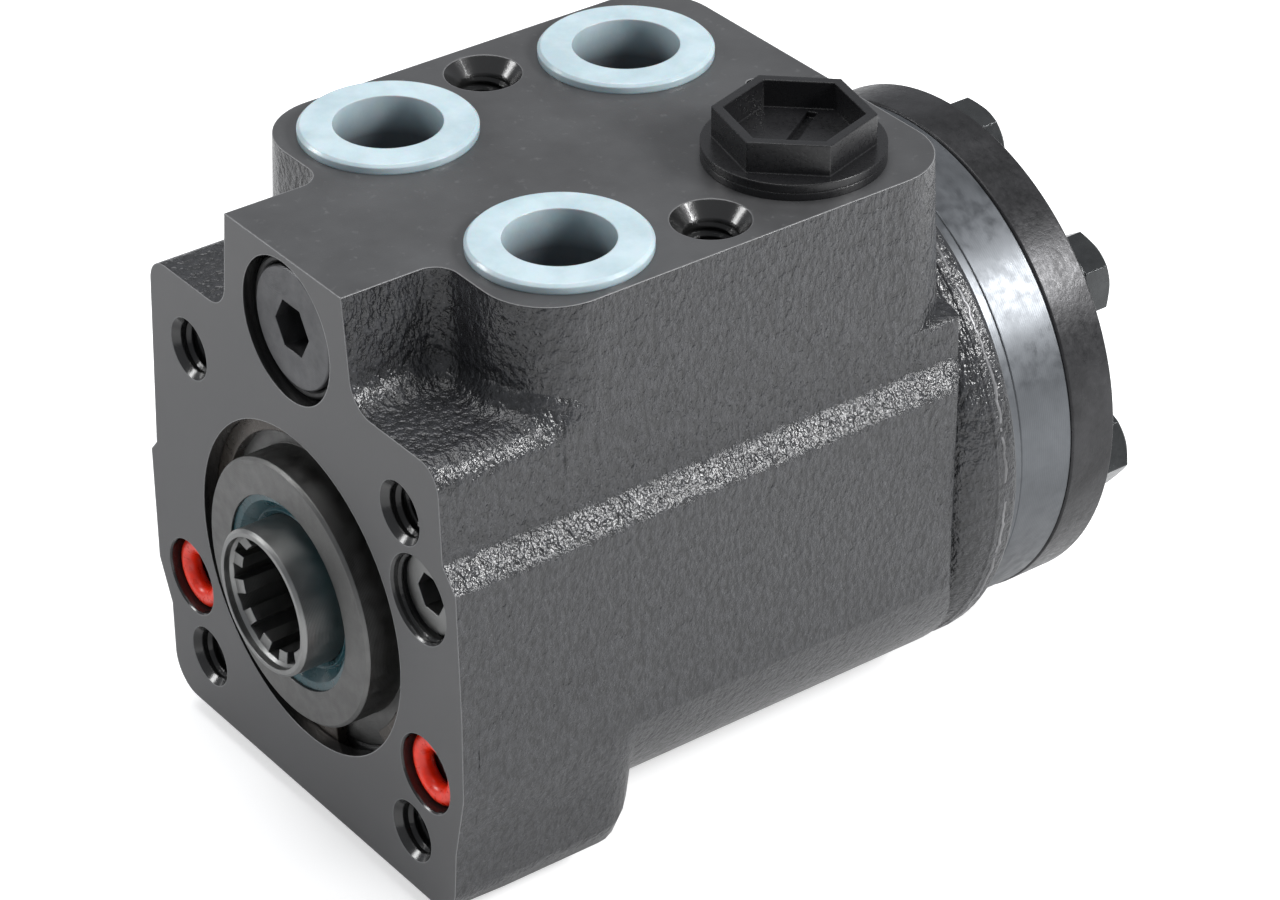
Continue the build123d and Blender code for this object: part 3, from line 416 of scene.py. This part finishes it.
def turned_material(name, colour, roughness, axis=(0.0, 0.0), pitch=0.25 * MM, depth=0.006 * MM):
    """Bare metal with fine turning marks round an axis along Y through (x, z)."""
    s = Shader(name)
    x, y, z = s.axes()
    dx = s.math("SUBTRACT", x, axis[0])
    dz = s.math("SUBTRACT", z, axis[1])
    radius = s.math("SQRT", s.math("ADD", s.math("MULTIPLY", dx, dx), s.math("MULTIPLY", dz, dz)))
    rings = s.math("SINE", s.math("MULTIPLY", s.math("ADD", radius, y), math.tau / pitch))
    smear = s.noise(90.0, 4.0, 0.6)
    spots = s.noise(420.0, 3.0, 0.6)
    low = tuple(channel * 0.78 for channel in colour)
    s.set(
        Base_Color=s.ramp(smear, (0.3, low), (0.7, colour)),
        Metallic=1.0,
        Roughness=s.spread(spots, 0.3, 0.7, roughness * 0.8, roughness * 1.25),
    )
    s.relief(s.math("ADD", rings, s.math("MULTIPLY", spots, 1.5)), depth, edge=0.25 * MM)
    return s.material


def blackened_material(name, colour, roughness, mottle):
    """Black-phosphated steel with oily mottling, `mottle` times as bright as its colour."""
    s = Shader(name)
    cloud = s.noise(120.0, 5.0, 0.65)
    speck = s.noise(900.0, 3.0, 0.7)
    bright = tuple(channel * mottle for channel in colour)
    s.set(
        Base_Color=s.ramp(cloud, (0.35, colour), (0.72, bright)),
        Metallic=0.6,
        Roughness=s.spread(speck, 0.3, 0.7, roughness * 0.75, roughness * 1.3),
    )
    s.relief(speck, 0.05 * MM, edge=0.35 * MM)
    return s.material


def moulded_shader(name, roughness):
    """Grain of moulded plastic, still without its colour."""
    s = Shader(name)
    speck = s.noise(1500.0, 2.0)
    s.set(Roughness=s.spread(speck, 0.3, 0.7, roughness * 0.8, roughness * 1.2))
    s.relief(speck, 0.02 * MM, edge=0.35 * MM)
    return s


def plastic_material(name, colour, roughness):
    """Plain moulded plastic."""
    s = moulded_shader(name, roughness)
    low = tuple(channel * 0.85 for channel in colour)
    s.set(Base_Color=s.ramp(s.noise(140.0, 4.0), (0.35, low), (0.65, colour)))
    return s.material


def milky_material():
    """Milky, slightly blue polyethylene: a pale flange, and a cup that is painted darker with depth
    as shade.
    """
    s = moulded_shader("cap_plastic", 0.22)
    z = s.axes()[2]
    # Painted shade: the cup darkens with depth below the port face
    painted_cup_shade = s.spread(z, FACE_Z + 1.1 * MM, FACE_Z - 5.0 * MM)
    pale = s.ramp(s.noise(140.0, 4.0), (0.35, CAP_PALE), (0.65, CAP_PALEST))
    colour = s.blend(painted_cup_shade, pale, CAP_PAINTED_SHADE)
    s.set(Base_Color=colour, IOR=1.5, Subsurface_Weight=0.3, Subsurface_Scale=1.5 * MM)
    return s.material


def rubber_material(name, colour, roughness):
    """Rubber with a soft speckle."""
    s = Shader(name)
    speck = s.noise(700.0, 3.0)
    low = tuple(channel * 0.7 for channel in colour)
    s.set(
        Base_Color=s.ramp(speck, (0.3, low), (0.7, colour)),
        Roughness=s.spread(speck, 0.3, 0.7, roughness * 0.8, roughness * 1.2),
    )
    s.relief(speck, 0.02 * MM, edge=0.2 * MM)
    return s.material


cast = housing_material()
bright_steel = turned_material(
    "bright_steel", (0.145, 0.153, 0.163), 0.40, pitch=0.4 * MM, depth=0.003 * MM
)
ground_steel = turned_material("ground_steel", (0.26, 0.262, 0.258), 0.36)
gland_steel = turned_material("gland_steel", (0.15, 0.15, 0.147), 0.42)
relief_steel = turned_material(
    "relief_steel", (0.12, 0.121, 0.125), 0.45, axis=(RELIEF.x, RELIEF.z)
)
cover_steel = blackened_material("cover_steel", (0.020, 0.020, 0.021), 0.34, 2.4)
dark_steel = blackened_material("dark_steel", (0.035, 0.035, 0.036), 0.4, 1.6)
spring_steel = blackened_material("spring_steel", (0.05, 0.042, 0.035), 0.3, 1.8)
zinc = blackened_material("zinc_bolt", (0.035, 0.037, 0.038), 0.22, 1.8)
black_plastic = plastic_material("black_plastic", (0.010, 0.010, 0.011), 0.30)
milky = milky_material()
thread_black = blackened_material("thread_black", (0.020, 0.020, 0.020), 0.16, 1.5)
black_rubber = rubber_material("black_rubber", (0.015, 0.015, 0.015), 0.5)
red_rubber = rubber_material("red_rubber", (0.92, 0.030, 0.006), 0.3)
teal_seal = rubber_material("teal_seal", (0.012, 0.085, 0.105), 0.3)
flash_steel = blackened_material("flash_steel", (0.09, 0.09, 0.092), 0.35, 3.2)
bronze = turned_material("bronze", (0.55, 0.40, 0.18), 0.35)

FINISHES = {
    cast: ["housing"],
    bright_steel: [
        "distributor_plate", "gear_ring", "rotor", "check_ball", "left_shock_ball",
        "right_shock_ball",
    ],
    ground_steel: [
        "control_spool", "control_sleeve", "cross_pin", "front_race", "rear_race", "needles",
        "drive_spacer", "relief_seat", "relief_poppet", "left_shock_screw", "right_shock_screw",
        "check_bush",
    ],
    gland_steel: ["gland_bushing"],
    relief_steel: ["relief_plug"],
    cover_steel: ["end_cover"],
    dark_steel: ["drive_shaft"],
    spring_steel: [
        "retaining_ring", "spring_ring", "centring_springs", "relief_spring", "left_shock_spring",
        "right_shock_spring",
    ],
    zinc: ["cover_bolts", "bolt_washers"],
    black_plastic: ["hex_port_plug", "hex_plug_washer"],
    milky: ["port_cap_front_left", "port_cap_front_right", "port_cap_rear_left"],
    black_rubber: [
        "gland_o_ring", "shaft_seal", "housing_o_ring", "plate_o_ring", "cover_o_ring",
        "relief_seal",
    ],
    red_rubber: ["left_shock_seal", "right_shock_seal"],
    teal_seal: ["dust_seal"],
    bronze: ["needle_cage"],
}
for finish, names in FINISHES.items():
    for name in names:
        for slot in nodes[name].material_slots:
            slot.material = finish


# ---------------------------------------------------------------- pieces modelled here
def add_piece(name, points, faces, finish, smooth=True):
    """A mesh piece that rides on the housing."""
    mesh = bpy.data.meshes.new(name)
    mesh.from_pydata(points, [], faces)
    mesh.materials.append(finish)
    mesh.polygons.foreach_set("use_smooth", [smooth] * len(mesh.polygons))
    mesh.update()
    made = bpy.data.objects.new(name, mesh)
    bpy.context.collection.objects.link(made)
    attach(made, "housing")
    return made


def side_name(side):
    """Name of the side at -X or +X."""
    return "right" if side > 0 else "left"


def grid_faces(rows, columns, flip=False):
    """Quads over a grid of points stored row by row, turned over where `flip` says so."""
    faces = [
        (i * columns + j, i * columns + j + 1, (i + 1) * columns + j + 1, (i + 1) * columns + j)
        for i in range(rows - 1)
        for j in range(columns - 1)
    ]
    return [tuple(reversed(face)) for face in faces] if flip else faces


def band_faces(first, second, count):
    """Quads between two closed rings of points, each given by the index of its first point."""
    return [
        (first + j, first + (j + 1) % count, second + (j + 1) % count, second + j)
        for j in range(count)
    ]


def lathe(outline, centre, sides):
    """Points and faces of a closed ring turned from (radius, depth) points about the Y axis."""
    points, faces = [], []
    count = len(outline)
    for k in range(sides):
        angle = math.tau * k / sides
        for radius, depth in outline:
            spoke = Vector((radius * math.cos(angle), depth, radius * math.sin(angle)))
            points.append(Vector(centre) + spoke)
        faces += band_faces(k * count, (k + 1) % sides * count, count)
    return points, faces


def thread_ridges(centre, inward, radius, pitch, start, turns):
    """Points and faces of a helical thread ridge in a bore, from `start` below its mouth."""
    inward = Vector(inward).normalized()
    across = inward.orthogonal().normalized()
    up = inward.cross(across)
    last = THREAD_STEPS * turns
    run_out = THREAD_RUN_OUT * THREAD_STEPS
    root = radius * THREAD_SEAT
    points = []
    for k in range(int(last) + 1):
        angle = math.tau * k / THREAD_STEPS
        fade = min(1.0, k / run_out, (last - k) / run_out)
        out = across * math.cos(angle) + up * math.sin(angle)
        along = start + pitch * k / THREAD_STEPS
        crest = radius - THREAD_DEPTH * pitch * fade
        for reach, shift in (
            (root, -THREAD_ROOT), (crest, -THREAD_CREST), (crest, THREAD_CREST), (root, THREAD_ROOT)
        ):
            points.append(Vector(centre) + inward * (along + shift * pitch) + out * reach)
    return points, grid_faces(int(last) + 1, 4)


def threads(name, bores):
    """One piece with the threads of several bores, each given as for thread_ridges."""
    points, faces = [], []
    for bore in bores:
        new_points, new_faces = thread_ridges(*bore)
        shift = len(points)
        points += new_points
        faces += [tuple(shift + corner for corner in face) for face in new_faces]
    add_piece(name, points, faces, thread_black, smooth=False)


def seal_ring(side):
    """Glossy round seal of a shock valve, in place of its faceted solid."""
    node = f"{side}_shock_seal"
    low, high = span(node)
    section = (high.y - low.y) / 2
    ring = (high.x - low.x) / 2 - section
    around = [math.tau * k / 20 for k in range(20)]
    outline = [(ring + section * math.cos(turn), section * math.sin(turn)) for turn in around]
    points, faces = lathe(outline, middle(node), 64)
    made = add_piece(f"{side}_seal_ring", points, faces, red_rubber)
    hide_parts(node)


def bolt_heads():
    """Chamfered hexagon heads of the cover bolts, with their shanks."""
    low, high = span("cover_bolts")
    head_front = span("bolt_washers")[1].y
    edge = high.y - HEAD_EDGE
    points, faces = [], []
    for k in range(BOLT_COUNT):
        angle = math.radians(90 + 360 / BOLT_COUNT * k)
        centre_x, centre_z = BOLT_CIRCLE * math.cos(angle), BOLT_CIRCLE * math.sin(angle)
        turn = random.uniform(0, math.radians(60))

        # A ring of points where the head meets its washer, one round the edge of the chamfer,
        # which dips at the corners, and one round the top
        washer_ring, edge_ring, top_ring = [], [], []
        for step in range(HEAD_SIDES):
            around = math.tau * step / HEAD_SIDES
            fold = (around + math.pi / 6) % (math.pi / 3) - math.pi / 6
            reach = HEAD_HALF_FLATS / math.cos(fold)
            dip = (reach - HEAD_HALF_FLATS) * HEAD_CHAMFER_SLOPE
            washer_ring.append((turn + around, reach, head_front))
            edge_ring.append((turn + around, reach, edge - dip))
            top_ring.append((turn + around, HEAD_HALF_FLATS * HEAD_TOP_SHARE, high.y))
        shank_rings = [
            (math.tau * step / SHANK_SIDES, SHANK_RADIUS, depth)
            for depth in (low.y, head_front)
            for step in range(SHANK_SIDES)
        ]
        start = len(points)
        points += [
            (centre_x + reach * math.cos(around), depth, centre_z + reach * math.sin(around))
            for around, reach, depth in washer_ring + edge_ring + top_ring + shank_rings
        ]
        top = start + 2 * HEAD_SIDES
        shank = start + 3 * HEAD_SIDES
        faces += band_faces(start, start + HEAD_SIDES, HEAD_SIDES)
        faces += band_faces(start + HEAD_SIDES, top, HEAD_SIDES)
        faces.append(tuple(top + step for step in range(HEAD_SIDES)))
        faces.append(tuple(start + step for step in reversed(range(HEAD_SIDES))))
        faces += band_faces(shank, shank + SHANK_SIDES, SHANK_SIDES)
        faces.append(tuple(shank + step for step in range(SHANK_SIDES)))
    made = add_piece("cover_bolt_heads", points, faces, zinc, smooth=False)
    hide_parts("cover_bolts")


def shoulder_run(side):
    """Cast shoulder that runs back round the block's corner, with a fillet against the block."""
    corner_x = BLOCK_HALF_WIDTH - BLOCK_CORNER
    corner_y = BLOCK_FRONT + BLOCK_CORNER
    wall = BLOCK_CORNER + (FACE_Z - SHOULDER_Z) * math.tan(math.radians(BLOCK_DRAFT))
    start_y, end_y = BLOCK_FRONT - SHOULDER_LEAD, corner_y + SHOULDER_TAIL
    side_top = SHOULDER_Z - SHOULDER_ROUND
    rows, across, down = 30, 26, 10
    points = []
    for i in range(rows):
        y = start_y + (end_y - start_y) * i / (rows - 1)
        # The side draws in to the block's own side by the end of the run
        drawn = y - BLOCK_FRONT - SHOULDER_DRAW_IN
        late = max(0.0, drawn / (end_y - BLOCK_FRONT - SHOULDER_DRAW_IN))
        inset = SHOULDER_STEP * late
        # The top, with its round edge and the fillet's rise against the block
        for j in range(across):
            share = math.sin(math.pi / 2 * j / (across - 1))
            x = corner_x + (SHOULDER_X - inset - corner_x) * share
            past = max(0.0, x + inset - SHOULDER_X + SHOULDER_ROUND)
            top = side_top + math.sqrt(max(0.0, SHOULDER_ROUND**2 - past**2))
            gap = math.hypot(x - corner_x, max(0.0, corner_y - y)) - wall
            near = min(CAST_FILLET, max(0.0, CAST_FILLET - gap))
            top += CAST_FILLET - math.sqrt(CAST_FILLET**2 - near**2)
            points.append((side * x, y, top + SHOULDER_LIFT))
        # The side, down to the ledge
        for j in range(1, down):
            fall = j / (down - 1)
            x = SHOULDER_X - inset + SHOULDER_LEAN * fall
            points.append((side * x, y, side_top + (LEDGE_Z - side_top) * fall))
    faces = grid_faces(rows, across + down - 1, flip=side < 0)
    add_piece(f"{side_name(side)}_shoulder_run", points, faces, cast)


def foot_cheeks():
    """The foot's flanks, which run on under the trunk and round off into its belly."""
    # Half of the section, from the side of the trunk round the foot's corner to the middle
    section = [
        (TRUNK_X - 0.3 * MM, 0.0), (TRUNK_X, -3 * MM), (TRUNK_X, -8 * MM),
        (TRUNK_X - 0.2 * MM, -15 * MM), (TRUNK_X - 1.2 * MM, -20 * MM),
        (FOOT_X + 1 * MM, -26.5 * MM), (FOOT_X + 0.3 * MM, FOOT_Z + 5 * MM),
        (FOOT_X - 1.4 * MM, FOOT_Z + 1.4 * MM), (FOOT_X - 5 * MM, FOOT_SKIN),
        (FOOT_X - 14 * MM, FOOT_SKIN), (0.0, FOOT_SKIN),
    ]
    stops = 24
    for side in (-1, 1):
        points = []
        for i in range(stops):
            y = FOOT_FRONT + (FOOT_REAR - FOOT_FRONT) * i / (stops - 1)
            # Past the turn, the section sinks into the trunk along a quarter round
            late = max(0.0, (y - FOOT_TURN) / (FOOT_REAR - FOOT_TURN))
            sink = 1 - math.sqrt(max(0.0, 1 - late * late))
            # The flank starts inside the trunk and comes out of it slowly
            proud = min(0.3, (y - 4 * MM) / (20 * MM)) * (1 - late) * MM
            for x, z in section:
                depth = min(1.0, max(0.0, (-z - 12 * MM) / (20 * MM)))
                swell = proud if x > FOOT_X - 2 * MM else 0.0
                reach = x - FOOT_SINK_X * sink * depth + swell
                points.append((side * reach, y, z + FOOT_SINK_Z * sink * depth))
        faces = grid_faces(stops, len(section), flip=side < 0)
        add_piece(f"{side_name(side)}_foot_cheek", points, faces, cast)


def flange_dome():
    """Rounded cast shoulder of the rear flange, over the plain cone of its solid."""
    outline = [(DOME_ROOT - DOME_INSIDE, DOME_END)]
    steps = 14
    for k in range(steps + 1):
        angle = math.pi / 2 * k / steps
        radius = DOME_ROOT + (FLANGE_RADIUS - DOME_ROOT) * math.sin(angle)
        outline.append((radius, DOME_END - (DOME_END - DOME_START) * math.cos(angle)))
    points, faces = lathe(outline, (0, 0, 0), 160)
    points = [(x, y, max(z, FLOOR_Z)) for x, y, z in points]
    add_piece("flange_dome", points, faces, cast)


def smooth_noise(a, b):
    """Smooth noise between -1 and 1."""
    return noise.noise(Vector((a, b, 3.7)))


def flash_ridge():
    """Ragged casting flash along the front edge of the flange's machined land."""
    sides = 360
    root = FLANGE_RADIUS - FLASH_SINK
    points, faces = [], []
    for k in range(sides):
        angle = math.tau * k / sides
        cosine, sine = math.cos(angle), math.sin(angle)
        push = 0.6 * smooth_noise(14 * cosine, 14 * sine)
        push += 0.4 * smooth_noise(60 * cosine, 60 * sine)
        ridge = FLANGE_RADIUS + FLASH_HEIGHT + FLASH_RAGGED * push
        # Reach of each point, and in millimetres its place along Y and how far it wanders
        for reach, along, wander in (
            (root, -0.7, 0.6), (ridge, -0.2, 0.6), (ridge, 0.25, 0.7), (root, 0.6, 0.7)
        ):
            x = max(-FLANGE_RADIUS, min(FLANGE_RADIUS, reach * cosine))
            depth = DOME_END + along * MM + wander * MM * push
            points.append((x, depth, max(reach * sine, FLOOR_Z)))
        row, following = 4 * k, 4 * ((k + 1) % sides)
        faces += [(row + j, following + j, following + j + 1, row + j + 1) for j in range(3)]
    add_piece("flange_flash", points, faces, flash_steel)


# Bores with a thread: centre of the mouth, way in, radius, pitch, start below the mouth, turns
column_bores = [
    (
        (i * COLUMN_OFFSET, 0, j * COLUMN_OFFSET), (0, 1, 0),
        COLUMN_HOLE, M10_PITCH, COLUMN_THREAD_START, 8,
    )
    for i in (-1, 1)
    for j in (-1, 1)
]
valve_bores = [
    ((i * VALVE_X, VALVE_Y, FACE_Z), (0, 0, -1), COLUMN_HOLE, M10_PITCH, VALVE_THREAD_START, 7)
    for i in (-1, 1)
]
check_bore = (
    (CHECK.x, 0, CHECK.z), (0, 1, 0),
    CHECK_THREAD_RADIUS, CHECK_THREAD_PITCH, CHECK_THREAD_START, 1.2,
)
threads("bolt_threads", column_bores + valve_bores)
threads("check_thread", [check_bore])
for side in (-1, 1):
    seal_ring(side_name(side))
bolt_heads()
for side in (-1, 1):
    shoulder_run(side)
foot_cheeks()
flange_dome()
flash_ridge()


# ---------------------------------------------------------------- floor, light and camera
def stage_floor():
    """A pale floor that looks a little brighter to the camera than its light makes it."""
    mesh = bpy.data.meshes.new("floor")
    corners = [
        (FLOOR_REACH * i, FLOOR_REACH * j, BASE) for i, j in ((-1, -1), (1, -1), (1, 1), (-1, 1))
    ]
    mesh.from_pydata(corners, [], [(0, 1, 2, 3)])
    floor = bpy.data.objects.new("floor", mesh)
    bpy.context.collection.objects.link(floor)
    s = Shader("floor")
    s.set(Base_Color=FLOOR_PALE, Roughness=0.9)
    glow = s.node("ShaderNodeEmission")
    glow.inputs["Color"].default_value = WHITE
    seen = s.node("ShaderNodeLightPath").outputs["Is Camera Ray"]
    s.link(s.math("MULTIPLY", seen, FLOOR_GLOW), glow.inputs["Strength"])
    add = s.node("ShaderNodeAddShader")
    s.link(s.surface.outputs[0], add.inputs[0])
    s.link(glow.outputs[0], add.inputs[1])
    s.link(add.outputs[0], s.output.inputs["Surface"])
    mesh.materials.append(s.material)


def studio_world():
    """Grey light from all sides, behind a white background."""
    world = bpy.data.worlds.new("studio")
    bpy.context.scene.world = world
    world.use_nodes = True
    tree = world.node_tree
    tree.nodes.clear()
    output = tree.nodes.new("ShaderNodeOutputWorld")
    mix = tree.nodes.new("ShaderNodeMixShader")
    room = tree.nodes.new("ShaderNodeBackground")
    room.inputs["Color"].default_value = ROOM_GREY
    white = tree.nodes.new("ShaderNodeBackground")
    white.inputs["Color"].default_value = WHITE
    seen = tree.nodes.new("ShaderNodeLightPath").outputs["Is Camera Ray"]
    tree.links.new(seen, mix.inputs[0])
    tree.links.new(room.outputs[0], mix.inputs[1])
    tree.links.new(white.outputs[0], mix.inputs[2])
    tree.links.new(mix.outputs[0], output.inputs["Surface"])


def softbox(name, place, width, height, power):
    """A rectangular lamp that faces the part."""
    light = bpy.data.lights.new(name, "AREA")
    light.shape = "RECTANGLE"
    light.size = width
    light.size_y = height
    light.energy = power
    lamp = bpy.data.objects.new(name, light)
    bpy.context.collection.objects.link(lamp)
    lamp.location = place
    ahead = Vector(LIGHT_TARGET) - Vector(place)
    lamp.rotation_euler = ahead.to_track_quat("-Z", "Y").to_euler()


def camera():
    """Camera at the photograph's viewing angle, for a frame of 1280 by 900."""
    data = bpy.data.cameras.new("camera")
    data.sensor_width = 36.0
    data.lens = FOCAL_PX * data.sensor_width / PHOTO_WIDTH_PX
    data.clip_start = 0.05
    eye = bpy.data.objects.new("camera", data)
    bpy.context.collection.objects.link(eye)
    turn = Matrix((CAMERA_RIGHT, -CAMERA_DOWN, -CAMERA_AHEAD)).transposed().to_4x4()
    eye.matrix_world = Matrix.Translation(CAMERA_PLACE) @ turn
    bpy.context.scene.camera = eye


stage_floor()
studio_world()
for settings in SOFTBOXES:
    softbox(*settings)
camera()
bpy.context.scene.view_settings.view_transform = "Standard"
